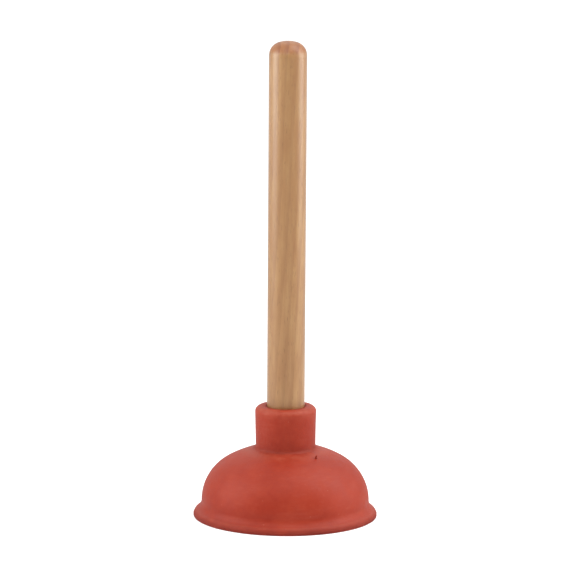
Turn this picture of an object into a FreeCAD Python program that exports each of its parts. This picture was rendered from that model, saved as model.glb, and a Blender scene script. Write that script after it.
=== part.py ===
"""Sink plunger: a moulded rubber force cup on a turned wooden handle.

The handle is a plain dowel with a domed top. Its slightly tapered foot stands in the matching socket of
the cup's collar. A wood screw with a wide washer, driven up from inside the cup, clamps the crown to it.

Frame: millimetres, +Z up along the handle, origin at the centre of the flat land that the rim seals with.
"""

import FreeCAD, Part
import math
import os
from types import SimpleNamespace

import Sketcher

DIMENSIONS = {
    # cup, outside
    "rim_diameter": 108.0,
    "rim_edge_radius": 0.7,
    "bead_radius": 3.9,
    "hollow_radius": 6.0,
    "dome_radius": 49.3,
    "shoulder_radius": 28.8,
    "shoulder_height": 9.2,
    "crown_radius": 72.3,
    "collar_foot_radius": 17.55,
    "collar_foot_fillet": 2.0,
    "collar_top_radius": 18.0,
    "collar_edge_radius": 3.4,
    "cup_height": 66.1,
    # cup, inside
    "wall_thickness": 3.5,
    "flare_radius": 12.0,
    "mouth_edge_radius": 0.8,
    "seat_radius": 15.5,
    "seat_height": 36.0,
    "seat_fillet": 0.8,
    "socket_floor": 42.0,
    "socket_clearance": 0.05,
    "socket_edge_radius": 0.7,
    "screw_hole_radius": 2.9,
    # handle, a 7/8 inch dowel
    "handle_radius": 11.1,
    "handle_length": 240.0,
    "foot_radius": 10.7,
    "foot_taper_length": 24.8,
    "end_crown_radius": 20.0,
    "end_edge_radius": 8.0,
    "foot_chamfer": 1.0,
    "pilot_radius": 1.8,
    "pilot_depth": 28.0,
    # washer
    "washer_radius": 12.5,
    "washer_bore_radius": 3.0,
    "washer_thickness": 1.6,
    "washer_edge_radius": 0.3,
    # pan head wood screw, number 12 by 1 1/4 inch
    "screw_length": 32.0,
    "shank_radius": 2.75,
    "core_radius": 1.8,
    "core_length": 22.0,
    "runout_length": 1.0,
    "point_length": 5.0,
    "thread_pitch": 2.4,
    "thread_length": 16.8,
    "thread_sink": 0.2,
    "thread_root_width": 1.5,
    "thread_crest_width": 0.3,
    "head_radius": 5.2,
    "head_height": 3.2,
    "head_side_height": 1.0,
    "head_crown_radius": 7.2,
    "recess_reach": 2.7,
    "recess_width": 1.1,
    "recess_depth": 2.0,
}
size = SimpleNamespace(**DIMENSIONS)

START, END, CENTRE = 1, 2, 3  # the point of a sketch's line or arc that a constraint is on
X_AXIS = -1  # a sketch's own X axis; its point START is the sketch's origin
Y_AXIS = -2  # a sketch's own Y axis
SAME_PLACE = 0.02  # how close an edge has to be to the ring that a fillet asks for
LEAST_CUT = 0.001  # the least volume that a pocket has to take away


def fill_sheet(document):
    """The driving dimensions, one row and one alias each."""
    sheet = document.addObject("Spreadsheet::Sheet", "dims")
    for row, (alias, value) in enumerate(DIMENSIONS.items(), 1):
        sheet.set(f"A{row}", alias)
        sheet.set(f"B{row}", str(value))
        sheet.setAlias(f"B{row}", alias)
    document.recompute()


class Outline:
    """A sketch on one of a body's own origin planes.

    Its lines and arcs are drawn near their places, and constraints bound to the sheet's cells put them there.
    """

    def __init__(self, body, name, plane="XZ_Plane"):
        self.sketch = body.newObject("Sketcher::SketchObject", name)
        origin_plane = next(f for f in body.Origin.OriginFeatures if f.Role == plane)
        self.sketch.AttachmentSupport = [(origin_plane, "")]
        self.sketch.MapMode = "FlatFace"

    def lines(self, *points):
        """Lines through the points, each joined to the one before."""
        vectors = [FreeCAD.Vector(x, y, 0) for x, y in points]
        made = [self.sketch.addGeometry(Part.LineSegment(a, b), False) for a, b in zip(vectors, vectors[1:])]
        for line, following in zip(made, made[1:]):
            self.hold("Coincident", line, END, following, START)
        return made

    def arc(self, centre, radius, first_degrees, last_degrees):
        """An arc that runs anticlockwise from its START to its END."""
        circle = Part.Circle(FreeCAD.Vector(*centre, 0), FreeCAD.Vector(0, 0, 1), radius)
        swept = Part.ArcOfCircle(circle, math.radians(first_degrees), math.radians(last_degrees))
        return self.sketch.addGeometry(swept, False)

    def circle(self, cell):
        """A circle about the sketch's origin, with its radius in a cell."""
        ring = Part.Circle(FreeCAD.Vector(), FreeCAD.Vector(0, 0, 1), DIMENSIONS[cell])
        made = self.sketch.addGeometry(ring, False)
        self.hold("Coincident", made, CENTRE, X_AXIS, START)
        self.measure("Radius", made, formula=f"dims.{cell}")

    def hold(self, kind, *where):
        """A constraint without a size, such as Coincident or Tangent."""
        return self.sketch.addConstraint(Sketcher.Constraint(kind, *where))

    def hold_each(self, kind, lines):
        for line in lines:
            self.hold(kind, line)

    def measure(self, kind, *where, formula):
        """A constraint whose size is a formula over the sheet's cells."""
        value = float(self.sketch.evalExpression(formula))
        index = self.sketch.addConstraint(Sketcher.Constraint(kind, *where, value))
        self.sketch.setExpression(f"Constraints[{index}]", formula)

    def across(self, piece, point, formula):
        """The X of a point."""
        self.measure("DistanceX", X_AXIS, START, piece, point, formula=formula)

    def up(self, piece, point, formula):
        """The Y of a point."""
        self.measure("DistanceY", X_AXIS, START, piece, point, formula=formula)

    def finished(self):
        self.sketch.Document.recompute()
        if not self.sketch.FullyConstrained:
            raise RuntimeError(f"{self.sketch.Name} is not fully constrained")
        return self.sketch


def new_body(document, name, label):
    body = document.addObject("PartDesign::Body", name)
    body.Label = label
    return body


def turn(body, name, sketch):
    """A section turned all the way round the body's own Z axis."""
    turned = body.newObject("PartDesign::Revolution", name)
    turned.Profile = sketch
    turned.ReferenceAxis = (sketch, ["V_Axis"])
    turned.Angle = 360.0
    body.Document.recompute()


def cut_upward(body, name, sketch, depth_cell):
    """A pocket that runs up from a level sketch, and has to take something away."""
    whole = body.Shape.Volume
    pocket = body.newObject("PartDesign::Pocket", name)
    pocket.Profile = sketch
    pocket.Reversed = True
    pocket.setExpression("Length", f"dims.{depth_cell}")
    body.Document.recompute()
    if body.Shape.Volume > whole - LEAST_CUT:
        raise RuntimeError(f"{name} took nothing from {body.Label}")
    return pocket


def ring_edge(body, radius, height):
    """The name of the circular edge with this radius at this height."""
    for number, edge in enumerate(body.Shape.Edges, 1):
        ring = edge.Curve
        if not isinstance(ring, Part.Circle):
            continue
        if abs(ring.Radius - radius) < SAME_PLACE and abs(ring.Center.z - height) < SAME_PLACE:
            return f"Edge{number}"
    raise RuntimeError(f"{body.Label} has no ring of radius {radius:.2f} at {height:.2f}")


def fillet(body, name, radius_cell, *rings):
    """A fillet on the ring edges given as (radius, height)."""
    edges = [ring_edge(body, *ring) for ring in rings]
    base = body.Tip
    rounded = body.newObject("PartDesign::Fillet", name)
    rounded.Base = (base, edges)
    rounded.setExpression("Radius", f"dims.{radius_cell}")
    body.Document.recompute()


def cup_places():
    """Where the cup's tangent arcs come to lie, from the sizes of the arcs."""
    inset = size.dome_radius - size.shoulder_radius
    crown_rise = math.sqrt((size.crown_radius - size.shoulder_radius) ** 2 - inset**2)
    bead_centre = size.rim_diameter / 2 - size.bead_radius
    bead_gap = size.dome_radius + size.hollow_radius - bead_centre
    bead_drop = math.sqrt((size.bead_radius + size.hollow_radius) ** 2 - bead_gap**2)
    bead_height = size.shoulder_height - bead_drop
    flare_centre = size.dome_radius - size.wall_thickness + size.flare_radius
    crown_centre = size.shoulder_height - crown_rise
    return SimpleNamespace(
        inset=inset,
        crown_centre=crown_centre,
        crown_angle=math.degrees(math.atan2(crown_rise, inset)),
        bead_centre=bead_centre,
        bead_height=bead_height,
        bead_angle=math.degrees(math.atan2(bead_drop, bead_gap)),
        bead_foot=bead_centre + math.sqrt(size.bead_radius**2 - bead_height**2),
        flare_centre=flare_centre,
        mouth=flare_centre - math.sqrt(size.flare_radius**2 - size.shoulder_height**2),
        collar_foot=crown_centre + math.sqrt(size.crown_radius**2 - size.collar_foot_radius**2),
        socket_mouth=size.handle_radius + size.socket_clearance,
        socket_foot=size.foot_radius + size.socket_clearance,
    )


def cup_outer_skin(outline):
    """The bead, the hollow above it, the shoulder and the crown, each tangent to the next."""
    place = cup_places()
    level = size.shoulder_height
    foot_angle = -math.degrees(math.asin(place.bead_height / size.bead_radius))
    collar_angle = math.degrees(math.acos(size.collar_foot_radius / size.crown_radius))
    bead = outline.arc((place.bead_centre, place.bead_height), size.bead_radius, foot_angle, place.bead_angle)
    hollow_centre = (size.dome_radius + size.hollow_radius, level)
    hollow = outline.arc(hollow_centre, size.hollow_radius, 180, 180 + place.bead_angle)
    shoulder = outline.arc((place.inset, level), size.shoulder_radius, 0, place.crown_angle)
    crown = outline.arc((0, place.crown_centre), size.crown_radius, place.crown_angle, collar_angle)

    outline.measure("Radius", bead, formula="dims.bead_radius")
    outline.across(bead, CENTRE, "dims.rim_diameter / 2 - dims.bead_radius")
    outline.measure("Radius", hollow, formula="dims.hollow_radius")
    outline.hold("Tangent", bead, END, hollow, END)
    outline.hold("Tangent", hollow, START, shoulder, START)
    outline.measure("Radius", shoulder, formula="dims.shoulder_radius")
    outline.across(shoulder, CENTRE, "dims.dome_radius - dims.shoulder_radius")
    outline.up(shoulder, CENTRE, "dims.shoulder_height")
    outline.up(shoulder, START, "dims.shoulder_height")
    outline.hold("Tangent", shoulder, END, crown, START)
    outline.measure("Radius", crown, formula="dims.crown_radius")
    outline.hold("PointOnObject", crown, CENTRE, Y_AXIS)
    outline.across(crown, END, "dims.collar_foot_radius")
    return bead, shoulder, crown


def cup_inner_skin(outline, outer_shoulder):
    """The wall's inside, a wall thickness in from the outer arcs, and the flare down to the mouth."""
    place = cup_places()
    level = size.shoulder_height
    shoulder_radius = size.shoulder_radius - size.wall_thickness
    crown_radius = size.crown_radius - size.wall_thickness
    seat_angle = math.degrees(math.acos(size.seat_radius / crown_radius))
    mouth_angle = 180 + math.degrees(math.asin(level / size.flare_radius))
    crown = outline.arc((0, place.crown_centre), crown_radius, place.crown_angle, seat_angle)
    shoulder = outline.arc((place.inset, level), shoulder_radius, 0, place.crown_angle)
    flare = outline.arc((place.flare_centre, level), size.flare_radius, 180, mouth_angle)

    outline.measure("Radius", crown, formula="dims.crown_radius - dims.wall_thickness")
    outline.hold("PointOnObject", crown, CENTRE, Y_AXIS)
    outline.hold("Tangent", shoulder, END, crown, START)
    outline.hold("Coincident", shoulder, CENTRE, outer_shoulder, CENTRE)
    outline.measure("Radius", shoulder, formula="dims.shoulder_radius - dims.wall_thickness")
    outline.up(shoulder, START, "dims.shoulder_height")
    outline.hold("Tangent", flare, START, shoulder, START)
    outline.measure("Radius", flare, formula="dims.flare_radius")
    outline.hold("PointOnObject", flare, END, X_AXIS)
    return crown, flare


def cup_section(body):
    """Half of the cup's section: out along the land, up the skin, down the socket, back along the inside."""
    place = cup_places()
    seat_top = place.crown_centre + size.crown_radius - size.wall_thickness
    outline = Outline(body, "CupSection")
    bead, shoulder, outer_crown = cup_outer_skin(outline)
    inner_crown, flare = cup_inner_skin(outline, shoulder)
    (land,) = outline.lines((place.mouth, 0), (place.bead_foot, 0))
    collar, collar_top, socket_wall, socket_floor, screw_hole, seat_face, seat_side = outline.lines(
        (size.collar_foot_radius, place.collar_foot),
        (size.collar_top_radius, size.cup_height),
        (place.socket_mouth, size.cup_height),
        (place.socket_foot, size.socket_floor),
        (size.screw_hole_radius, size.socket_floor),
        (size.screw_hole_radius, size.seat_height),
        (size.seat_radius, size.seat_height),
        (size.seat_radius, seat_top),
    )

    outline.hold("Coincident", flare, END, land, START)
    outline.hold("PointOnObject", land, END, X_AXIS)
    outline.hold("Coincident", land, END, bead, START)
    outline.hold("Coincident", outer_crown, END, collar, START)
    outline.hold("Coincident", seat_side, END, inner_crown, END)
    outline.hold_each("Horizontal", (collar_top, socket_floor, seat_face))
    outline.hold_each("Vertical", (screw_hole, seat_side))
    outline.across(collar, END, "dims.collar_top_radius")
    outline.up(collar, END, "dims.cup_height")
    outline.across(socket_wall, START, "dims.handle_radius + dims.socket_clearance")
    outline.across(socket_wall, END, "dims.foot_radius + dims.socket_clearance")
    outline.up(socket_wall, END, "dims.socket_floor")
    outline.across(screw_hole, START, "dims.screw_hole_radius")
    outline.up(seat_face, START, "dims.seat_height")
    outline.across(seat_side, START, "dims.seat_radius")
    return outline.finished()


def build_cup(document):
    """The cup, one moulding: bead, thin dome, thick collar with the handle's socket, and washer seat."""
    place = cup_places()
    body = new_body(document, "RubberCup", "rubber_cup")
    turn(body, "CupTurn", cup_section(body))
    fillet(body, "CollarEdge", "collar_edge_radius", (size.collar_top_radius, size.cup_height))
    fillet(body, "CollarFoot", "collar_foot_fillet", (size.collar_foot_radius, place.collar_foot))
    fillet(body, "SocketEdge", "socket_edge_radius", (place.socket_mouth, size.cup_height))
    fillet(body, "RimEdge", "rim_edge_radius", (place.bead_foot, 0))
    fillet(body, "MouthEdge", "mouth_edge_radius", (place.mouth, 0))
    fillet(body, "SeatEdge", "seat_fillet", (size.seat_radius, size.seat_height))
    return body


def handle_section(body):
    """Half of the handle's section: the foot, its chamfer and taper, the side, and the end's two arcs."""
    radius = size.handle_radius
    length = size.handle_length
    crown_drop = size.end_crown_radius - size.end_edge_radius
    edge_inset = radius - size.end_edge_radius
    meeting = math.degrees(math.acos(edge_inset / crown_drop))
    side_top = length - size.end_crown_radius + math.sqrt(crown_drop**2 - edge_inset**2)
    outline = Outline(body, "HandleSection")
    middle, foot, bevel, taper, side = outline.lines(
        (0, length),
        (0, 0),
        (size.foot_radius - size.foot_chamfer, 0),
        (size.foot_radius, size.foot_chamfer),
        (radius, size.foot_taper_length),
        (radius, side_top),
    )
    edge = outline.arc((edge_inset, side_top), size.end_edge_radius, 0, meeting)
    crown = outline.arc((0, length - size.end_crown_radius), size.end_crown_radius, meeting, 90)

    outline.hold("Coincident", middle, END, X_AXIS, START)
    outline.hold_each("Vertical", (middle, side))
    outline.hold("Horizontal", foot)
    outline.up(middle, START, "dims.handle_length")
    outline.across(foot, END, "dims.foot_radius - dims.foot_chamfer")
    outline.across(bevel, END, "dims.foot_radius")
    outline.up(bevel, END, "dims.foot_chamfer")
    outline.across(taper, END, "dims.handle_radius")
    outline.up(taper, END, "dims.foot_taper_length")
    outline.hold("Tangent", edge, START, side, END)
    outline.hold("Tangent", edge, END, crown, START)
    outline.hold("Coincident", crown, END, middle, START)
    outline.hold("PointOnObject", crown, CENTRE, Y_AXIS)
    outline.measure("Radius", edge, formula="dims.end_edge_radius")
    outline.measure("Radius", crown, formula="dims.end_crown_radius")
    return outline.finished()


def build_handle(document):
    """The handle, a turned dowel with a domed end, a tapered foot and a pilot hole up its middle."""
    body = new_body(document, "WoodenHandle", "wooden_handle")
    turn(body, "HandleTurn", handle_section(body))
    pilot = Outline(body, "PilotCircle", "XY_Plane")
    pilot.circle("pilot_radius")
    cut_upward(body, "PilotHole", pilot.finished(), "pilot_depth")
    body.setExpression("Placement.Base.z", "dims.socket_floor")
    return body


def build_washer(document):
    """A wide penny washer, with its outer edges eased."""
    body = new_body(document, "PennyWasher", "washer")
    outline = Outline(body, "WasherRings", "XY_Plane")
    outline.circle("washer_radius")
    outline.circle("washer_bore_radius")
    disc = body.newObject("PartDesign::Pad", "WasherDisc")
    disc.Profile = outline.finished()
    disc.setExpression("Length", "dims.washer_thickness")
    document.recompute()
    rims = [(size.washer_radius, height) for height in (0, size.washer_thickness)]
    fillet(body, "WasherEdges", "washer_edge_radius", *rims)
    body.setExpression("Placement.Base.z", "dims.seat_height - dims.washer_thickness")
    return body


def screw_section(body):
    """Half of the screw's section: down the middle, round the head, up the shank, the core and the point."""
    core_start = size.screw_length - size.core_length
    head_centre = size.head_crown_radius - size.head_height
    head_angle = 270 + math.degrees(math.asin(size.head_radius / size.head_crown_radius))
    outline = Outline(body, "ScrewSection")
    (middle,) = outline.lines((0, size.screw_length), (0, -size.head_height))
    crown = outline.arc((0, head_centre), size.head_crown_radius, 270, head_angle)
    head_side, head_underside, shank_side, runout, core_side, point = outline.lines(
        (size.head_radius, -size.head_side_height),
        (size.head_radius, 0),
        (size.shank_radius, 0),
        (size.shank_radius, core_start - size.runout_length),
        (size.core_radius, core_start),
        (size.core_radius, size.screw_length - size.point_length),
        (0, size.screw_length),
    )

    outline.hold_each("Vertical", (head_side, shank_side, core_side))
    outline.hold("PointOnObject", middle, START, Y_AXIS)
    outline.hold("PointOnObject", middle, END, Y_AXIS)
    outline.hold("PointOnObject", crown, CENTRE, Y_AXIS)
    outline.hold("Coincident", middle, END, crown, START)
    outline.hold("Coincident", crown, END, head_side, START)
    outline.hold("Coincident", point, END, middle, START)
    outline.hold("PointOnObject", head_underside, START, X_AXIS)
    outline.hold("PointOnObject", head_underside, END, X_AXIS)
    outline.up(middle, START, "dims.screw_length")
    outline.measure("DistanceY", middle, END, X_AXIS, START, formula="dims.head_height")
    outline.across(head_side, END, "dims.head_radius")
    outline.measure("DistanceY", head_side, START, head_side, END, formula="dims.head_side_height")
    outline.across(shank_side, START, "dims.shank_radius")
    outline.up(runout, START, "dims.screw_length - dims.core_length - dims.runout_length")
    outline.up(runout, END, "dims.screw_length - dims.core_length")
    outline.across(core_side, START, "dims.core_radius")
    outline.up(core_side, END, "dims.screw_length - dims.point_length")
    return outline.finished()


def cut_recess(body):
    """The cross recess in the head: one slot, and the same slot a quarter turn round."""
    reach = size.recess_reach
    half = size.recess_width / 2
    outline = Outline(body, "RecessSlot", "XY_Plane")
    outline.sketch.setExpression("AttachmentOffset.Base.z", "-dims.head_height")
    near, right, far, left = outline.lines(
        (-reach, -half),
        (reach, -half),
        (reach, half),
        (-reach, half),
        (-reach, -half),
    )
    outline.hold("Coincident", left, END, near, START)
    outline.hold_each("Horizontal", (near, far))
    outline.hold_each("Vertical", (left, right))
    outline.hold("Symmetric", near, START, far, START, X_AXIS, START)
    outline.across(near, END, "dims.recess_reach")
    outline.up(far, START, "dims.recess_width / 2")
    slot = cut_upward(body, "RecessCut", outline.finished(), "recess_depth")
    cross = body.newObject("PartDesign::PolarPattern", "RecessCross")
    cross.Originals = [slot]
    cross.Axis = (outline.sketch, ["N_Axis"])
    cross.Angle = 90.0
    cross.Occurrences = 2
    body.Tip = cross
    body.Document.recompute()


def add_thread(body):
    """The thread, one helical ridge along the core, with its root sunk a little into it."""
    middle = size.screw_length - size.core_length + size.thread_pitch / 2
    root = size.core_radius - size.thread_sink
    half_root = size.thread_root_width / 2
    half_crest = size.thread_crest_width / 2
    outline = Outline(body, "ThreadSection")
    inner, upper, outer, lower = outline.lines(
        (root, middle - half_root),
        (root, middle + half_root),
        (size.shank_radius, middle + half_crest),
        (size.shank_radius, middle - half_crest),
        (root, middle - half_root),
    )
    start = "dims.screw_length - dims.core_length + dims.thread_pitch / 2"
    outline.hold("Coincident", lower, END, inner, START)
    outline.hold_each("Vertical", (inner, outer))
    outline.across(inner, START, "dims.core_radius - dims.thread_sink")
    outline.across(outer, START, "dims.shank_radius")
    outline.up(inner, START, f"{start} - dims.thread_root_width / 2")
    outline.up(upper, START, f"{start} + dims.thread_root_width / 2")
    outline.up(upper, END, f"{start} + dims.thread_crest_width / 2")
    outline.up(lower, START, f"{start} - dims.thread_crest_width / 2")
    section = outline.finished()
    thread = body.newObject("PartDesign::AdditiveHelix", "Thread")
    thread.Profile = section
    thread.ReferenceAxis = (section, ["V_Axis"])
    thread.Mode = "pitch-height-angle"
    thread.setExpression("Pitch", "dims.thread_pitch")
    thread.setExpression("Height", "dims.thread_length")
    body.Document.recompute()


def build_screw(document):
    """The wood screw, point up, with the underside of its head at the body's own origin."""
    body = new_body(document, "RetainingScrew", "retaining_screw")
    turn(body, "ScrewTurn", screw_section(body))
    cut_recess(body)
    add_thread(body)
    body.setExpression("Placement.Base.z", "dims.seat_height - dims.washer_thickness")
    return body


def check(document, bodies):
    """Every object has to be sound, and every piece one valid solid."""
    document.recompute()
    for item in document.Objects:
        if "Invalid" in item.State or "Error" in item.State:
            raise RuntimeError(f"{item.Name} failed: {item.State}")
    for body in bodies:
        shape = body.Shape
        if shape.isNull() or not shape.isValid() or len(shape.Solids) != 1:
            raise RuntimeError(f"{body.Label} is not one valid solid")


def write(bodies):
    os.makedirs("parts", exist_ok=True)
    for body in bodies:
        body.Shape.exportStep(f"parts/{body.Label}.step")
        print(f"{body.Label}: {body.Shape.Volume:.1f} mm3, {body.Shape.optimalBoundingBox()}")


def main():
    document = FreeCAD.newDocument("sink_plunger")
    fill_sheet(document)
    bodies = [build_cup(document), build_handle(document), build_washer(document), build_screw(document)]
    check(document, bodies)
    write(bodies)


main()
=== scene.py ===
"""Sink plunger: a terracotta rubber force cup on a lacquered wooden handle, standing on a pale floor.

Everything is in metres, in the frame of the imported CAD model: +Z up along the handle, and the rim's land
at z = 0.
"""

import math

import bmesh
import bpy
from mathutils import Matrix, Vector, noise


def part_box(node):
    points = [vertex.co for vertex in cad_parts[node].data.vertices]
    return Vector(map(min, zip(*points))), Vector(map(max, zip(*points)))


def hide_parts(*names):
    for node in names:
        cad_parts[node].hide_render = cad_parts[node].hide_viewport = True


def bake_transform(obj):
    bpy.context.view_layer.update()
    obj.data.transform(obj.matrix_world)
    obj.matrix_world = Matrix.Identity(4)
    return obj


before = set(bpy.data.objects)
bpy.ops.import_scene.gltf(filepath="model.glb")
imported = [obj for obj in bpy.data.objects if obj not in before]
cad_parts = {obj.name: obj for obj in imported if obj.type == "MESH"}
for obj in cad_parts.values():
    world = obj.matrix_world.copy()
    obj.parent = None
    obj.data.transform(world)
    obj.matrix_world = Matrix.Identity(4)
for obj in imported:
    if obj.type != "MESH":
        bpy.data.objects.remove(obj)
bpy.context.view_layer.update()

MM = 0.001

# The camera, which looks along +Y and down at the object.
CAMERA_DISTANCE = 2.93
CAMERA_ELEVATION = 13.4
CAMERA_ROLL = 0.38
CAMERA_LENS = 310.0
CAMERA_AIM = Vector((0.00085, 0.0, 0.1363))
CAMERA_NEAR = 0.1
CAMERA_FAR = 60.0

# The brightness of the surround: at the horizon in front, what it rises to overhead and underfoot, and what
# is added behind, from a direction that is still a little in front of the object.
HORIZON_LIGHT = 0.1
ZENITH_LIGHT = 1.0
BACK_LIGHT = 0.5
BACK_LIGHT_START = -0.1

# Where the softboxes point, and how far the floor reaches each way.
LIGHTS_AIM = Vector((0.0, 0.0, 0.12))
FLOOR_REACH = 12.0

# The cup's section. What the frame doesn't say repeats the CAD model's arcs.
RIM_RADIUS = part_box("rubber_cup")[1].x
CUP_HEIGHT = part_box("rubber_cup")[1].z
HANDLE_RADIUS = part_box("wooden_handle")[1].x
HANDLE_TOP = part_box("wooden_handle")[1].z
SOCKET_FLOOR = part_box("wooden_handle")[0].z
SEAT_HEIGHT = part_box("washer")[1].z
RIM_EDGE = 0.7 * MM
BEAD_RADIUS = 3.9 * MM
HOLLOW_RADIUS = 6.0 * MM
DOME_RADIUS = 49.3 * MM
SHOULDER_RADIUS = 28.8 * MM
SHOULDER_HEIGHT = 9.2 * MM
CROWN_RADIUS = 72.3 * MM
COLLAR_FOOT = 17.55 * MM
COLLAR_FOOT_FILLET = 2.0 * MM
COLLAR_TOP = 18.0 * MM
COLLAR_EDGE = 3.4 * MM
WALL = 3.5 * MM
FLARE_RADIUS = 12.0 * MM
MOUTH_EDGE = 0.8 * MM
SEAT_RADIUS = 15.5 * MM
SEAT_FILLET = 0.8 * MM
SOCKET_MOUTH = HANDLE_RADIUS + 0.05 * MM
SOCKET_FOOT = 10.75 * MM
SOCKET_EDGE = 0.7 * MM
SCREW_HOLE = 2.9 * MM

# The shoulder's arc and the crown's arc meet where both have the same tangent.
SHOULDER_INSET = DOME_RADIUS - SHOULDER_RADIUS
CROWN_RISE = math.sqrt((CROWN_RADIUS - SHOULDER_RADIUS) ** 2 - SHOULDER_INSET**2)
CROWN_CENTRE = SHOULDER_HEIGHT - CROWN_RISE

# The spacing of the section's points, and how many columns it is spun into.
ARC_STEP = 0.8 * MM
STRAIGHT_STEP = 1.0 * MM
EDGE_STEP = 0.3 * MM
CUP_SEGMENTS = 288

# Points closer than this are one: where two runs of a section meet, and where a spun piece meets its axis.
RUN_GAP = 0.02 * MM
AXIS_GAP = 0.001 * MM

# Up to this height above the land the skin's swell fades in.
LIP_HEIGHT = 3 * MM

# What the moulding left on the rubber: a flash line round the lip, a swell of the skin, and one vent pip.
PARTING_TURN = 12.0
PARTING_SPREAD = 8.0
FLASH_HEIGHT = 0.16 * MM
FLASH_WIDTH = 0.16 * MM
FLASH_LENGTH = 4 * MM
SWELL = 0.16 * MM
SWELL_LENGTH = 26 * MM
RIPPLE = 0.03 * MM
RIPPLE_LENGTH = 6 * MM
PIP_TURN = -46.4
PIP_DISTANCE = 25.7 * MM
PIP_HEIGHT = 2.1 * MM
PIP_RADIUS = 0.6 * MM
PIP_ROOT_RADIUS = PIP_RADIUS * 1.7
PIP_ROOT_DEPTH = 0.6 * MM
PIP_TEAR = 0.12 * MM
PIP_SEGMENTS = 24

# Where the rubber is darkened with soil and painted shade (round the land, at the collar's foot and at the
# socket's mouth), and where it is rubbed or dusted pale, with a painted highlight along the bead's shoulder
# and the collar's top edge: the place on the section, how strongly, and how far round it. The dust on the
# crown lies some degrees of its arc out from the collar. The vent pip is darkened all over with soil and
# painted shade.
SOIL_AND_SHADE = {"land": (1.0, 3.3 * MM), "foot": (0.6, 1.5 * MM), "mouth": (1.0, 1.0 * MM)}
WEAR_AND_HIGHLIGHT = {"bead": (0.35, 0.9 * MM), "collar": (0.7, 2.6 * MM), "crown": (0.6, 4.0 * MM)}
CROWN_DUST_TURN = 4.0
PIP_SOIL_AND_SHADE = 0.3

# How far down the handle's dome the end grain shows, and over what height it gives way to the side's grain.
END_GRAIN_DEPTH = 6.5 * MM
END_GRAIN_FADE = 3.2 * MM

# The colours that each material is mixed from.
RUBBER = {
    "deep": (0.305, 0.022, 0.006, 1),
    "plain": (0.350, 0.030, 0.009, 1),
    "mottle": (0.400, 0.044, 0.014, 1),
    "grain": (0.225, 0.016, 0.008, 1),
    "bloom": (0.440, 0.100, 0.065, 1),
    # rubbed wear and painted highlight, laid on the edges
    "rubbed_and_highlit": (0.470, 0.120, 0.070, 1),
    # soil and painted shade, laid in the creases
    "soil_and_shade": (0.140, 0.013, 0.008, 1),
    "scale": (0.420, 0.185, 0.130, 1),
    "silt": (0.150, 0.030, 0.015, 1),
    "speck": (0.62, 0.30, 0.24, 1),
}
WOOD = {
    "dark band": (0.394, 0.196, 0.062, 1),
    "light band": (0.460, 0.247, 0.090, 1),
    "dark patch": (0.345, 0.150, 0.048, 1),
    "light patch": (0.500, 0.300, 0.125, 1),
    "fibre": (0.365, 0.172, 0.056, 1),
    "ring": (0.310, 0.136, 0.043, 1),
    "hair": (0.490, 0.290, 0.140, 1),
    "smudge": (0.290, 0.125, 0.048, 1),
    "pore": (0.210, 0.088, 0.034, 1),
    "end": (0.360, 0.143, 0.049, 1),
    "end ring": (0.285, 0.100, 0.035, 1),
    "end tube": (0.160, 0.052, 0.020, 1),
}
ZINC = {
    "dull": (0.50, 0.50, 0.49, 1),
    "bright": (0.66, 0.65, 0.62, 1),
    "rust": (0.34, 0.25, 0.17, 1),
}


def compass(degrees):
    """The unit vector at an angle in the section's plane, where X is the radius and Y the height."""
    return Vector((math.cos(math.radians(degrees)), math.sin(math.radians(degrees))))


def arc(centre, radius, first, last, step=ARC_STEP):
    """Points along an arc of the section, from the first angle to the last."""
    count = max(4, math.ceil(abs(math.radians(last - first)) * radius / step))
    return [Vector(centre) + compass(first + (last - first) * i / count) * radius for i in range(count + 1)]


def straight(start, end, step=STRAIGHT_STEP):
    """Points along a straight run of the section."""
    start, end = Vector(start), Vector(end)
    count = max(1, math.ceil((end - start).length / step))
    return [start.lerp(end, i / count) for i in range(count + 1)]


def rounding(corner, back, ahead, radius, step=EDGE_STEP):
    """The arc that rounds a corner, given the directions to what comes before and after it.

    Also returns how much it takes off each side.
    """
    back, ahead = back.normalized(), ahead.normalized()
    half = back.angle(ahead) / 2
    reach = radius / math.tan(half)
    centre = corner + (back + ahead).normalized() * (radius / math.sin(half))
    start = corner + back * reach - centre
    end = corner + ahead * reach - centre
    first = math.degrees(math.atan2(start.y, start.x))
    last = math.degrees(math.atan2(end.y, end.x))
    sweep = (last - first + 180) % 360 - 180
    return arc(centre, radius, first, first + sweep, step), reach


def chained(*runs):
    """The runs' points in one list, with each point that two runs share kept once."""
    points = []
    for point in (p for run in runs for p in run):
        if not points or (point - points[-1]).length > RUN_GAP:
            points.append(point)
    return points


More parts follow.
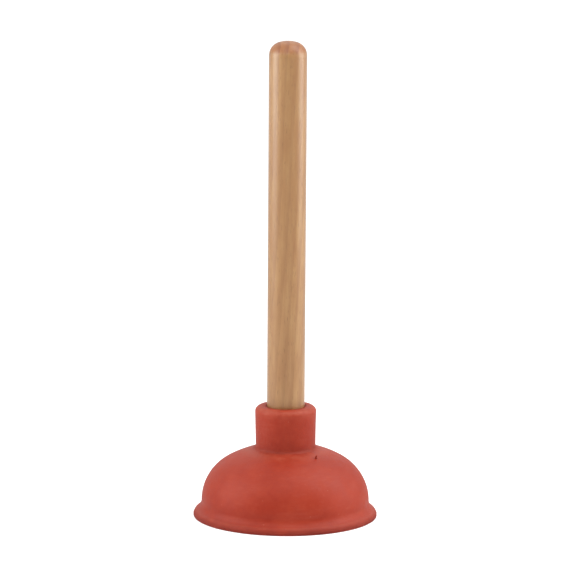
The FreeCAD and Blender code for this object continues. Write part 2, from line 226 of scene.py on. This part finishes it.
def cup_section():
    """The cup's closed section: out along the land, up the skin, down the socket, down the inside.

    Returned with the places on it that relief, soil and wear are measured from.
    """
    crown_centre = Vector((0.0, CROWN_CENTRE))
    shoulder_centre = Vector((SHOULDER_INSET, SHOULDER_HEIGHT))
    meeting = math.degrees(math.atan2(CROWN_RISE, SHOULDER_INSET))
    gap = DOME_RADIUS + HOLLOW_RADIUS - RIM_RADIUS + BEAD_RADIUS
    drop = math.sqrt((BEAD_RADIUS + HOLLOW_RADIUS) ** 2 - gap**2)
    bead_centre = Vector((RIM_RADIUS - BEAD_RADIUS, SHOULDER_HEIGHT - drop))
    bead_turn = math.degrees(math.atan2(drop, gap))
    hollow_centre = Vector((DOME_RADIUS + HOLLOW_RADIUS, SHOULDER_HEIGHT))
    flare_centre = Vector((DOME_RADIUS - WALL + FLARE_RADIUS, SHOULDER_HEIGHT))
    inner_crown = CROWN_RADIUS - WALL

    # The angles at which the arcs end at corners, and the corners.
    land_turn = -math.degrees(math.asin(bead_centre.y / BEAD_RADIUS))
    rim_corner = Vector((bead_centre.x + BEAD_RADIUS * math.cos(math.radians(land_turn)), 0.0))
    collar_turn = math.degrees(math.acos(COLLAR_FOOT / CROWN_RADIUS))
    foot_corner = crown_centre + compass(collar_turn) * CROWN_RADIUS
    top_corner = Vector((COLLAR_TOP, CUP_HEIGHT))
    mouth_corner = Vector((SOCKET_MOUTH, CUP_HEIGHT))
    socket_corner = Vector((SOCKET_FOOT, SOCKET_FLOOR))
    seat_turn = math.degrees(math.acos(SEAT_RADIUS / inner_crown))
    seat_corner = Vector((SEAT_RADIUS, SEAT_HEIGHT))
    crease_corner = crown_centre + compass(seat_turn) * inner_crown
    flare_turn = 180 + math.degrees(math.asin(SHOULDER_HEIGHT / FLARE_RADIUS))
    land_corner = Vector((flare_centre.x - FLARE_RADIUS * math.cos(math.radians(flare_turn - 180)), 0.0))

    # The directions of the sides that meet at the corners, and the corners rounded.
    outward = Vector((1.0, 0.0))
    inward = Vector((-1.0, 0.0))
    up_collar = top_corner - foot_corner
    down_socket = socket_corner - mouth_corner
    down_seat = seat_corner - crease_corner
    up_bead = compass(land_turn + 90)
    down_crown = compass(collar_turn - 90)
    down_inner_crown = compass(seat_turn - 90)
    up_flare = compass(flare_turn - 90)
    rim, rim_reach = rounding(rim_corner, inward, up_bead, RIM_EDGE, step=0.15 * MM)
    foot, foot_reach = rounding(foot_corner, down_crown, up_collar, COLLAR_FOOT_FILLET)
    top, _ = rounding(top_corner, -up_collar, inward, COLLAR_EDGE)
    mouth, _ = rounding(mouth_corner, outward, down_socket, SOCKET_EDGE)
    seat, _ = rounding(seat_corner, inward, -down_seat, SEAT_FILLET)
    crease, crease_reach = rounding(crease_corner, down_seat, down_inner_crown, SEAT_FILLET)
    land, land_reach = rounding(land_corner, up_flare, outward, MOUTH_EDGE, step=0.2 * MM)

    rim_trim = math.degrees(rim_reach / BEAD_RADIUS)
    foot_trim = math.degrees(foot_reach / CROWN_RADIUS)
    crease_trim = math.degrees(crease_reach / inner_crown)
    land_trim = math.degrees(land_reach / FLARE_RADIUS)
    below_parting = PARTING_TURN - PARTING_SPREAD
    above_parting = PARTING_TURN + PARTING_SPREAD

    # The middle of the collar's rounded edge is about 0.3 of its radius in from the corner each way.
    places = {
        "parting": bead_centre + compass(PARTING_TURN) * BEAD_RADIUS,
        "bead": bead_centre + compass(bead_turn * 0.9) * BEAD_RADIUS,
        "land": Vector((RIM_RADIUS, 0.0)),
        "foot": foot_corner,
        "crown": crown_centre + compass(collar_turn - CROWN_DUST_TURN) * CROWN_RADIUS,
        "collar": top_corner + Vector((-COLLAR_EDGE, -COLLAR_EDGE)) * 0.3,
        "mouth": mouth_corner,
    }
    section = chained(
        straight(land[-1], rim[0]),
        rim,
        arc(bead_centre, BEAD_RADIUS, land_turn + rim_trim, below_parting, step=0.2 * MM),
        arc(bead_centre, BEAD_RADIUS, below_parting, above_parting, step=0.07 * MM),
        arc(bead_centre, BEAD_RADIUS, above_parting, bead_turn, step=0.25 * MM),
        arc(hollow_centre, HOLLOW_RADIUS, 180 + bead_turn, 180, step=0.4 * MM),
        arc(shoulder_centre, SHOULDER_RADIUS, 0, meeting),
        arc(crown_centre, CROWN_RADIUS, meeting, collar_turn - foot_trim),
        foot,
        straight(foot[-1], top[0]),
        top,
        straight(top[-1], mouth[0]),
        mouth,
        straight(mouth[-1], socket_corner, step=2.0 * MM),
        straight(socket_corner, (SCREW_HOLE, SOCKET_FLOOR), step=1.5 * MM),
        straight((SCREW_HOLE, SOCKET_FLOOR), (SCREW_HOLE, SEAT_HEIGHT), step=1.5 * MM),
        straight((SCREW_HOLE, SEAT_HEIGHT), seat[0], step=1.5 * MM),
        seat,
        crease,
        arc(crown_centre, inner_crown, seat_turn - crease_trim, meeting, step=1.2 * MM),
        arc(shoulder_centre, SHOULDER_RADIUS - WALL, meeting, 0, step=1.2 * MM),
        arc(flare_centre, FLARE_RADIUS, 180, flare_turn - land_trim, step=1.0 * MM),
        land[:-1],
    )
    return section, places


def normals(section):
    """The outward normal at each point of a closed section that runs anticlockwise."""
    count = len(section)
    along = [(section[(i + 1) % count] - section[i - 1]).normalized() for i in range(count)]
    return [Vector((a.y, -a.x)) for a in along]


def spin(name, section, segments, relief):
    """A closed section turned all the way round Z into a mesh of quads.

    The relief is a function of a point and its place on the section that says how far the point stands
    proud. A side of the section that lies on the axis makes no faces.
    """
    rows = len(section)
    points = []
    for column in range(segments):
        turn = math.tau * column / segments
        across = Vector((math.cos(turn), math.sin(turn), 0.0))
        for place, normal in zip(section, normals(section)):
            point = across * place.x + Vector((0.0, 0.0, place.y))
            proud = (across * normal.x + Vector((0.0, 0.0, normal.y))) * relief(point, place)
            points.append(point + proud)
    faces = []
    for column in range(segments):
        here = column * rows
        there = (column + 1) % segments * rows
        for row in range(rows):
            above = (row + 1) % rows
            if section[row].x or section[above].x:
                faces.append((here + row, there + row, there + above, here + above))
    mesh = bpy.data.meshes.new(name)
    mesh.from_pydata(points, [], faces)
    mesh.polygons.foreach_set("use_smooth", [True] * len(faces))
    mesh.update()
    piece = bpy.data.objects.new(name, mesh)
    bpy.context.scene.collection.objects.link(piece)
    return piece


def weld(piece):
    """Merges the points of a spun piece that meet on its axis."""
    welded = bmesh.new()
    welded.from_mesh(piece.data)
    bmesh.ops.remove_doubles(welded, verts=welded.verts, dist=AXIS_GAP)
    welded.to_mesh(piece.data)
    welded.free()


def near(place, spot, reach):
    """1 at a spot of the section, falling to 0 past its reach."""
    return math.exp(-(((place - spot).length / reach) ** 2))


def marked(section, places, marks):
    """How strongly each point of the section is marked, from each mark's strength and reach at its place."""
    return [sum(near(p, places[k], reach) * most for k, (most, reach) in marks.items()) for p in section]


def ramp(value, low, high):
    """0 below low and 1 above high, smoothly."""
    share = min(1.0, max(0.0, (value - low) / (high - low)))
    return share * share * (3 - 2 * share)


def grade(piece, name, values):
    """Stores one number for each vertex of a piece, for its material."""
    piece.data.attributes.new(name, "FLOAT", "POINT").data.foreach_set("value", values)


def follow_rubber(piece):
    """Bakes the piece's placement into its mesh."""
    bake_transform(piece)


def make_cup():
    """The whole cup as one moulding, with the marks of its mould."""
    section, places = cup_section()

    def relief(point, place):
        # The swell keeps off the land, the socket and the washer's seat.
        skin = ramp(place.x, SEAT_RADIUS + 0.5 * MM, COLLAR_FOOT) * ramp(place.y, 0.3 * MM, LIP_HEIGHT)
        swell = noise.noise(point / SWELL_LENGTH) * SWELL + noise.noise(point / RIPPLE_LENGTH) * RIPPLE
        uneven = 0.7 + 0.45 * noise.noise(point / FLASH_LENGTH)
        return swell * skin + near(place, places["parting"], FLASH_WIDTH) * uneven * FLASH_HEIGHT

    cup = spin("rubber_cup_skin", section, CUP_SEGMENTS, relief)
    # Soil and painted shade in the creases, for the material.
    grade(cup, "crease", marked(section, places, SOIL_AND_SHADE) * CUP_SEGMENTS)
    # Rubbed wear and painted highlight on the bead's shoulder and the collar's top edge, for the material.
    grade(cup, "edge", marked(section, places, WEAR_AND_HIGHLIGHT) * CUP_SEGMENTS)
    inside = [ramp(-(normal.x + normal.y), 0.2, 0.9) for normal in normals(section)]
    grade(cup, "inside", inside * CUP_SEGMENTS)
    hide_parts("rubber_cup")
    follow_rubber(cup)
    return cup


def make_pip():
    """The stub that a vent of the mould left on the crown, torn off short."""
    section = chained(
        straight((0.0, -PIP_ROOT_DEPTH), (PIP_ROOT_RADIUS, -PIP_ROOT_DEPTH), step=0.3 * MM),
        straight((PIP_ROOT_RADIUS, -PIP_ROOT_DEPTH), (PIP_ROOT_RADIUS, -0.1 * MM), step=0.3 * MM),
        arc((PIP_RADIUS * 2.0, 0.45 * MM), PIP_RADIUS, -120, -180, step=0.1 * MM),
        straight((PIP_RADIUS, 0.5 * MM), (PIP_RADIUS * 0.8, PIP_HEIGHT * 0.85), step=0.15 * MM),
        straight((PIP_RADIUS * 0.6, PIP_HEIGHT), (0.0, PIP_HEIGHT * 0.9), step=0.1 * MM),
    )

    def torn(point, place):
        rough = ramp(place.y, 0.0, PIP_HEIGHT) * ramp(place.x, 0.0, 0.1 * MM)
        return noise.noise(point / (0.5 * MM)) * PIP_TEAR * rough

    pip = spin("vent_pip", section, PIP_SEGMENTS, torn)
    weld(pip)
    turn = math.radians(PIP_TURN)
    lean = math.acos(PIP_DISTANCE / CROWN_RADIUS)
    place = Matrix.Rotation(turn, 4, "Z") @ Matrix.Translation((0, 0, CROWN_CENTRE))
    place = place @ Matrix.Rotation(math.pi / 2 - lean, 4, "Y") @ Matrix.Translation((0, 0, CROWN_RADIUS))
    pip.data.transform(place)
    # The pip takes soil and painted shade all over, and no edge or inside marks.
    for name, value in (("crease", PIP_SOIL_AND_SHADE), ("edge", 0.0), ("inside", 0.0)):
        grade(pip, name, [value] * len(pip.data.vertices))
    follow_rubber(pip)
    return pip


class Look:
    """A material built round one Principled shader."""

    def __init__(self, name, **shader):
        self.material = bpy.data.materials.new(name)
        self.material.use_nodes = True
        self.tree = self.material.node_tree
        self.shader = self.tree.nodes["Principled BSDF"]
        self.finish(**shader)

    def fill(self, node, inputs):
        """Links each input that is another node's output, and sets the rest."""
        for key, value in inputs.items():
            socket = node.inputs[key]
            if isinstance(value, bpy.types.NodeSocket):
                self.tree.links.new(value, socket)
            else:
                socket.default_value = value

    def add(self, kind, inputs=None, **settings):
        """A new node with its settings and inputs."""
        node = self.tree.nodes.new(kind)
        for key, value in settings.items():
            setattr(node, key, value)
        self.fill(node, inputs or {})
        return node

    def place(self, scale=(1.0, 1.0, 1.0), shift=(0.0, 0.0, 0.0), tilt=0.0):
        """Object coordinates, tilted by some degrees, then stretched and shifted."""
        place = self.add("ShaderNodeTexCoord").outputs["Object"]
        if tilt:
            turn = (math.radians(tilt), math.radians(-tilt), 0.0)
            place = self.add("ShaderNodeMapping", {"Vector": place, "Rotation": turn}).outputs["Vector"]
        inputs = {"Vector": place, "Scale": scale, "Location": shift}
        return self.add("ShaderNodeMapping", inputs).outputs["Vector"]

    def height(self):
        """The height above the floor, in metres."""
        return self.add("ShaderNodeSeparateXYZ", {"Vector": self.place()}).outputs["Z"]

    def noise(self, cell, where=None, detail=3.0, roughness=0.5, distortion=0.0):
        """Noise from 0 to 1, whose cells are so many metres across."""
        inputs = {"Scale": 1 / cell, "Detail": detail, "Roughness": roughness, "Distortion": distortion}
        inputs["Vector"] = where or self.place()
        return self.add("ShaderNodeTexNoise", inputs).outputs["Fac"]

    def dots(self, cell, size, where=None):
        """1 in the middle of each cell's dot, 0 outside it."""
        inputs = {"Scale": 1 / cell, "Vector": where or self.place()}
        distance = self.add("ShaderNodeTexVoronoi", inputs).outputs["Distance"]
        return self.between(distance, size * 0.5, size, 1.0, 0.0)

    def attribute(self, name):
        return self.add("ShaderNodeAttribute", attribute_name=name).outputs["Fac"]

    def between(self, value, low, high, start=0.0, end=1.0):
        """A value taken smoothly from low..high to start..end."""
        inputs = {"Value": value, "From Min": low, "From Max": high, "To Min": start, "To Max": end}
        node = self.add("ShaderNodeMapRange", inputs, interpolation_type="SMOOTHSTEP")
        return node.outputs["Result"]

    def math(self, operation, first, second):
        return self.add("ShaderNodeMath", {0: first, 1: second}, operation=operation).outputs["Value"]

    def mix(self, factor, first, second):
        """The first colour where the factor is 0, the second where it is 1."""
        inputs = {0: factor, 6: first, 7: second}
        return self.add("ShaderNodeMix", inputs, data_type="RGBA").outputs[2]

    def layer(self, below, mask, start, full, most, tint):
        """A tint over what is below, from none of it where the mask is at start to the most at full."""
        return self.mix(self.between(mask, start, full, 0.0, most), below, tint)

    def bump(self, height, distance, strength=1.0, normal=None):
        inputs = {"Height": height, "Distance": distance, "Strength": strength}
        if normal:
            inputs["Normal"] = normal
        return self.add("ShaderNodeBump", inputs).outputs["Normal"]

    def finish(self, **inputs):
        """Fills the shader's inputs, named here with underscores for spaces, and returns the material."""
        self.fill(self.shader, {key.replace("_", " "): value for key, value in inputs.items()})
        return self.material


def rubber_look():
    """Terracotta natural rubber: mottled, dusty with bloom, rubbed pale at its edges with a painted
    highlight on the bead's shoulder and the collar's top, and darkened in its creases with soil and painted
    shade.

    Water has left pale scale and a little silt inside the cup.
    """
    look = Look("terracotta_rubber", Specular_IOR_Level=0.27)
    clouds = look.noise(30 * MM, detail=3.0, roughness=0.55)
    mottle = look.noise(5 * MM, detail=4.0, roughness=0.6)
    grain = look.noise(0.45 * MM, detail=3.0, roughness=0.6)
    layered = look.place((1.0, 1.0, 5.0))
    streaks = look.noise(9 * MM, layered, detail=4.0, roughness=0.6, distortion=0.4)
    tide_lines = look.place((1.0, 1.0, 4.5))
    tides = look.noise(22 * MM, tide_lines, detail=5.0, roughness=0.6, distortion=0.3)
    inside = look.attribute("inside")

    colour = look.mix(look.between(clouds, 0.34, 0.66), RUBBER["deep"], RUBBER["plain"])
    colour = look.layer(colour, mottle, 0.3, 0.75, 0.35, RUBBER["mottle"])
    colour = look.layer(colour, grain, 0.55, 0.8, 0.28, RUBBER["grain"])
    dusted = look.between(clouds, 0.4, 0.7, 0.06, 0.24)
    bloom = look.math("MULTIPLY", look.between(streaks, 0.45, 0.8), dusted)
    colour = look.mix(bloom, colour, RUBBER["bloom"])
    # Rubbed pale at the edges, with a painted highlight on the bead's shoulder and the collar's top edge.
    patchy = look.between(mottle, 0.35, 0.7, 0.25, 0.6)
    rubbed_and_highlit = look.math("MULTIPLY", look.attribute("edge"), patchy)
    colour = look.mix(rubbed_and_highlit, colour, RUBBER["rubbed_and_highlit"])
    # Darker in the creases: soil and painted shade round the land, at the collar's foot and at the socket's
    # mouth.
    streaked = look.between(streaks, 0.25, 0.7, 0.35, 0.85)
    shade_and_soil = look.math("MULTIPLY", look.attribute("crease"), streaked)
    colour = look.mix(shade_and_soil, colour, RUBBER["soil_and_shade"])
    scale = look.math("MULTIPLY", inside, look.between(tides, 0.48, 0.70, 0.0, 0.24))
    colour = look.mix(scale, colour, RUBBER["scale"])
    silt = look.math("MULTIPLY", inside, look.between(tides, 0.46, 0.32, 0.0, 0.32))
    colour = look.mix(silt, colour, RUBBER["silt"])
    specks = look.math("MULTIPLY", look.dots(3.1 * MM, 0.07), look.between(mottle, 0.5, 0.6, 0.0, 0.5))
    colour = look.mix(specks, colour, RUBBER["speck"])

    dusty = look.math("ADD", look.math("MULTIPLY", bloom, 0.35), look.math("MULTIPLY", shade_and_soil, 0.4))
    roughness = look.math("ADD", look.between(mottle, 0.3, 0.7, 0.42, 0.52), dusty)
    normal = look.bump(look.noise(1.6 * MM, detail=2.0), 0.09 * MM)
    normal = look.bump(grain, 0.09 * MM, normal=normal)
    return look.finish(Base_Color=colour, Roughness=roughness, Normal=normal)


def growth_rings(look):
    """Growth rings with sharp edges, about an axis outside the dowel and a little out of line with it."""
    inputs = {
        "Vector": look.place((1.0, 1.0, 0.08), (34 * MM, 21 * MM, 0.0), tilt=3.0),
        "Scale": 62.0,
        "Distortion": 3.0,
        "Detail": 3.0,
        "Detail Scale": 0.8,
    }
    kind = {"wave_type": "RINGS", "rings_direction": "Z", "wave_profile": "SAW"}
    return look.add("ShaderNodeTexWave", inputs, **kind).outputs["Fac"]


def wood_look():
    """Lacquered dowel: growth rings cut lengthwise, long fibres, pores and flecks, and end grain on top."""
    look = Look("lacquered_wood", Coat_Roughness=0.3, Coat_IOR=1.75, Specular_IOR_Level=0.3)
    bands = look.noise(6 * MM, look.place((1.0, 1.0, 0.035), tilt=2.0), detail=2.0)
    strands = look.place((1.0, 1.0, 0.02), tilt=1.2)
    fibres = look.noise(1.3 * MM, strands, detail=5.0, roughness=0.6, distortion=0.15)
    hair = look.noise(0.32 * MM, look.place((1.0, 1.0, 0.02)), detail=2.0)
    pores = look.noise(0.42 * MM, look.place((1.0, 1.0, 0.09)), detail=1.0)
    patches = look.noise(4.5 * MM, look.place((1.0, 1.0, 0.2), tilt=1.0), detail=3.0, roughness=0.6)
    smudges = look.noise(2.0 * MM, look.place((1.0, 1.0, 0.3)), detail=2.0)
    rings = growth_rings(look)

    colour = look.mix(look.between(bands, 0.32, 0.68), WOOD["dark band"], WOOD["light band"])
    layers = (
        (patches, 0.4, 0.7, 0.6, "dark patch"),
        (patches, 0.5, 0.25, 0.35, "light patch"),
        (fibres, 0.3, 0.7, 0.5, "fibre"),
        (rings, 0.4, 0.98, 0.42, "ring"),
        (hair, 0.55, 0.75, 0.22, "hair"),
        (smudges, 0.62, 0.78, 0.35, "smudge"),
        (pores, 0.64, 0.74, 0.6, "pore"),
    )
    for mask, start, full, most, tint in layers:
        colour = look.layer(colour, mask, start, full, most, WOOD[tint])

    # The end grain, whose lower edge is ragged where the fibres run out.
    top = look.math("ADD", look.height(), look.math("MULTIPLY", fibres, 2.0 * MM))
    end_foot = HANDLE_TOP - END_GRAIN_DEPTH
    end = look.between(top, end_foot, end_foot + END_GRAIN_FADE)
    tubes = look.dots(0.5 * MM, 0.3, look.place((1.0, 1.0, 0.2)))
    end_colour = look.mix(look.between(rings, 0.3, 1.0), WOOD["end"], WOOD["end ring"])
    end_colour = look.mix(look.math("MULTIPLY", tubes, 0.5), end_colour, WOOD["end tube"])
    colour = look.mix(end, colour, end_colour)

    roughness = look.between(fibres, 0.3, 0.7, 0.42, 0.55)
    grain = look.bump(fibres, 0.03 * MM)
    grain = look.bump(pores, 0.03 * MM, strength=0.6, normal=grain)
    lacquer = look.bump(look.noise(2.2 * MM, look.place((1.0, 1.0, 0.12)), detail=2.0), 0.03 * MM)
    coat = look.between(end, 0.0, 1.0, 1.0, 0.35)
    look.finish(Base_Color=colour, Roughness=roughness, Normal=grain)
    return look.finish(Coat_Weight=coat, Coat_Normal=lacquer)


def zinc_look():
    """Zinc plate that has been handled: dull patches, fine scratches, and rust beginning in a few spots."""
    look = Look("zinc_plate", Metallic=1.0)
    patches = look.noise(2.5 * MM, detail=4.0, roughness=0.6)
    scratches = look.noise(0.25 * MM, look.place((1.0, 0.06, 1.0)), detail=2.0)
    colour = look.mix(look.between(patches, 0.3, 0.7), ZINC["dull"], ZINC["bright"])
    colour = look.layer(colour, patches, 0.66, 0.78, 0.7, ZINC["rust"])
    roughness = look.between(patches, 0.3, 0.75, 0.26, 0.5)
    return look.finish(Base_Color=colour, Roughness=roughness, Normal=look.bump(scratches, 0.01 * MM))


def floor_look():
    """A white table that glows a little, so that it renders as a plain white ground."""
    look = Look("white_floor", Roughness=0.9, Specular_IOR_Level=0.2, Emission_Strength=0.36)
    return look.finish(Base_Color=(0.9, 0.9, 0.9, 1), Emission_Color=(1.0, 1.0, 1.0, 1))


def paint(piece, material):
    piece.data.materials.clear()
    piece.data.materials.append(material)


def make_floor():
    """A large pale plane under the rim, which the object's gloss doesn't mirror."""
    corners = [(x * FLOOR_REACH, y * FLOOR_REACH, 0) for x, y in ((-1, -1), (1, -1), (1, 1), (-1, 1))]
    mesh = bpy.data.meshes.new("floor")
    mesh.from_pydata(corners, [], [(0, 1, 2, 3)])
    floor = bpy.data.objects.new("floor", mesh)
    bpy.context.scene.collection.objects.link(floor)
    floor.visible_glossy = False
    paint(floor, floor_look())


def aimed(place, target, roll=0.0):
    """The matrix of something at a place that looks along its own -Z at a target."""
    turn = (target - place).to_track_quat("-Z", "Y").to_matrix().to_4x4()
    return Matrix.Translation(place) @ turn @ Matrix.Rotation(math.radians(roll), 4, "Z")


def softbox(name, place, width, height, power):
    """An area light aimed a little below the middle of the object."""
    light = bpy.data.lights.new(name, "AREA")
    light.shape = "RECTANGLE"
    light.size = width
    light.size_y = height
    light.energy = power
    lamp = bpy.data.objects.new(name, light)
    bpy.context.scene.collection.objects.link(lamp)
    lamp.matrix_world = aimed(Vector(place), LIGHTS_AIM)
    lamp.visible_camera = False


def make_lights():
    """A softbox on each side, one high on the right and one high in front, and a surround.

    The surround is brighter overhead, underfoot and behind than at the horizon in front.
    """
    softbox("left_box", (-0.77, -0.12, 0.42), width=0.6, height=0.8, power=4.0)
    softbox("right_box", (0.82, 0.0, 0.42), width=0.6, height=0.8, power=3.6)
    softbox("top_box", (0.6, -0.05, 1.1), width=0.9, height=0.9, power=5.2)
    softbox("front_box", (-0.2, -0.9, 1.3), width=0.9, height=0.9, power=3.2)
    world = bpy.data.worlds.new("studio")
    world.use_nodes = True
    nodes, links = world.node_tree.nodes, world.node_tree.links
    direction = nodes.new("ShaderNodeTexCoord")
    parts = nodes.new("ShaderNodeSeparateXYZ")
    steepness = nodes.new("ShaderNodeMath")
    steepness.operation = "ABSOLUTE"
    overhead = nodes.new("ShaderNodeMapRange")
    overhead.inputs["To Min"].default_value = HORIZON_LIGHT
    overhead.inputs["To Max"].default_value = ZENITH_LIGHT
    behind = nodes.new("ShaderNodeMapRange")
    behind.inputs["From Min"].default_value = BACK_LIGHT_START
    behind.inputs["To Max"].default_value = BACK_LIGHT
    brightness = nodes.new("ShaderNodeMath")
    links.new(direction.outputs["Generated"], parts.inputs["Vector"])
    links.new(parts.outputs["Z"], steepness.inputs[0])
    links.new(steepness.outputs["Value"], overhead.inputs["Value"])
    links.new(parts.outputs["Y"], behind.inputs["Value"])
    links.new(overhead.outputs["Result"], brightness.inputs[0])
    links.new(behind.outputs["Result"], brightness.inputs[1])
    links.new(brightness.outputs["Value"], nodes["Background"].inputs["Strength"])
    nodes["Background"].inputs["Color"].default_value = (1.0, 1.0, 1.0, 1.0)
    bpy.context.scene.world = world


def make_camera():
    """A long lens in front of the object, a little above it."""
    data = bpy.data.cameras.new("camera")
    data.lens = CAMERA_LENS
    data.clip_start = CAMERA_NEAR
    data.clip_end = CAMERA_FAR
    camera = bpy.data.objects.new("camera", data)
    bpy.context.scene.collection.objects.link(camera)
    turn = math.radians(CAMERA_ELEVATION)
    place = Vector((0.0, -math.cos(turn), math.sin(turn))) * CAMERA_DISTANCE
    camera.matrix_world = aimed(place, CAMERA_AIM, CAMERA_ROLL)
    bpy.context.scene.camera = camera


bpy.context.scene.view_settings.view_transform = "Standard"
make_camera()
make_floor()
make_lights()
rubber = rubber_look()
paint(make_cup(), rubber)
paint(make_pip(), rubber)
paint(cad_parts["wooden_handle"], wood_look())
zinc = zinc_look()
paint(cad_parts["washer"], zinc)
paint(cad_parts["retaining_screw"], zinc)
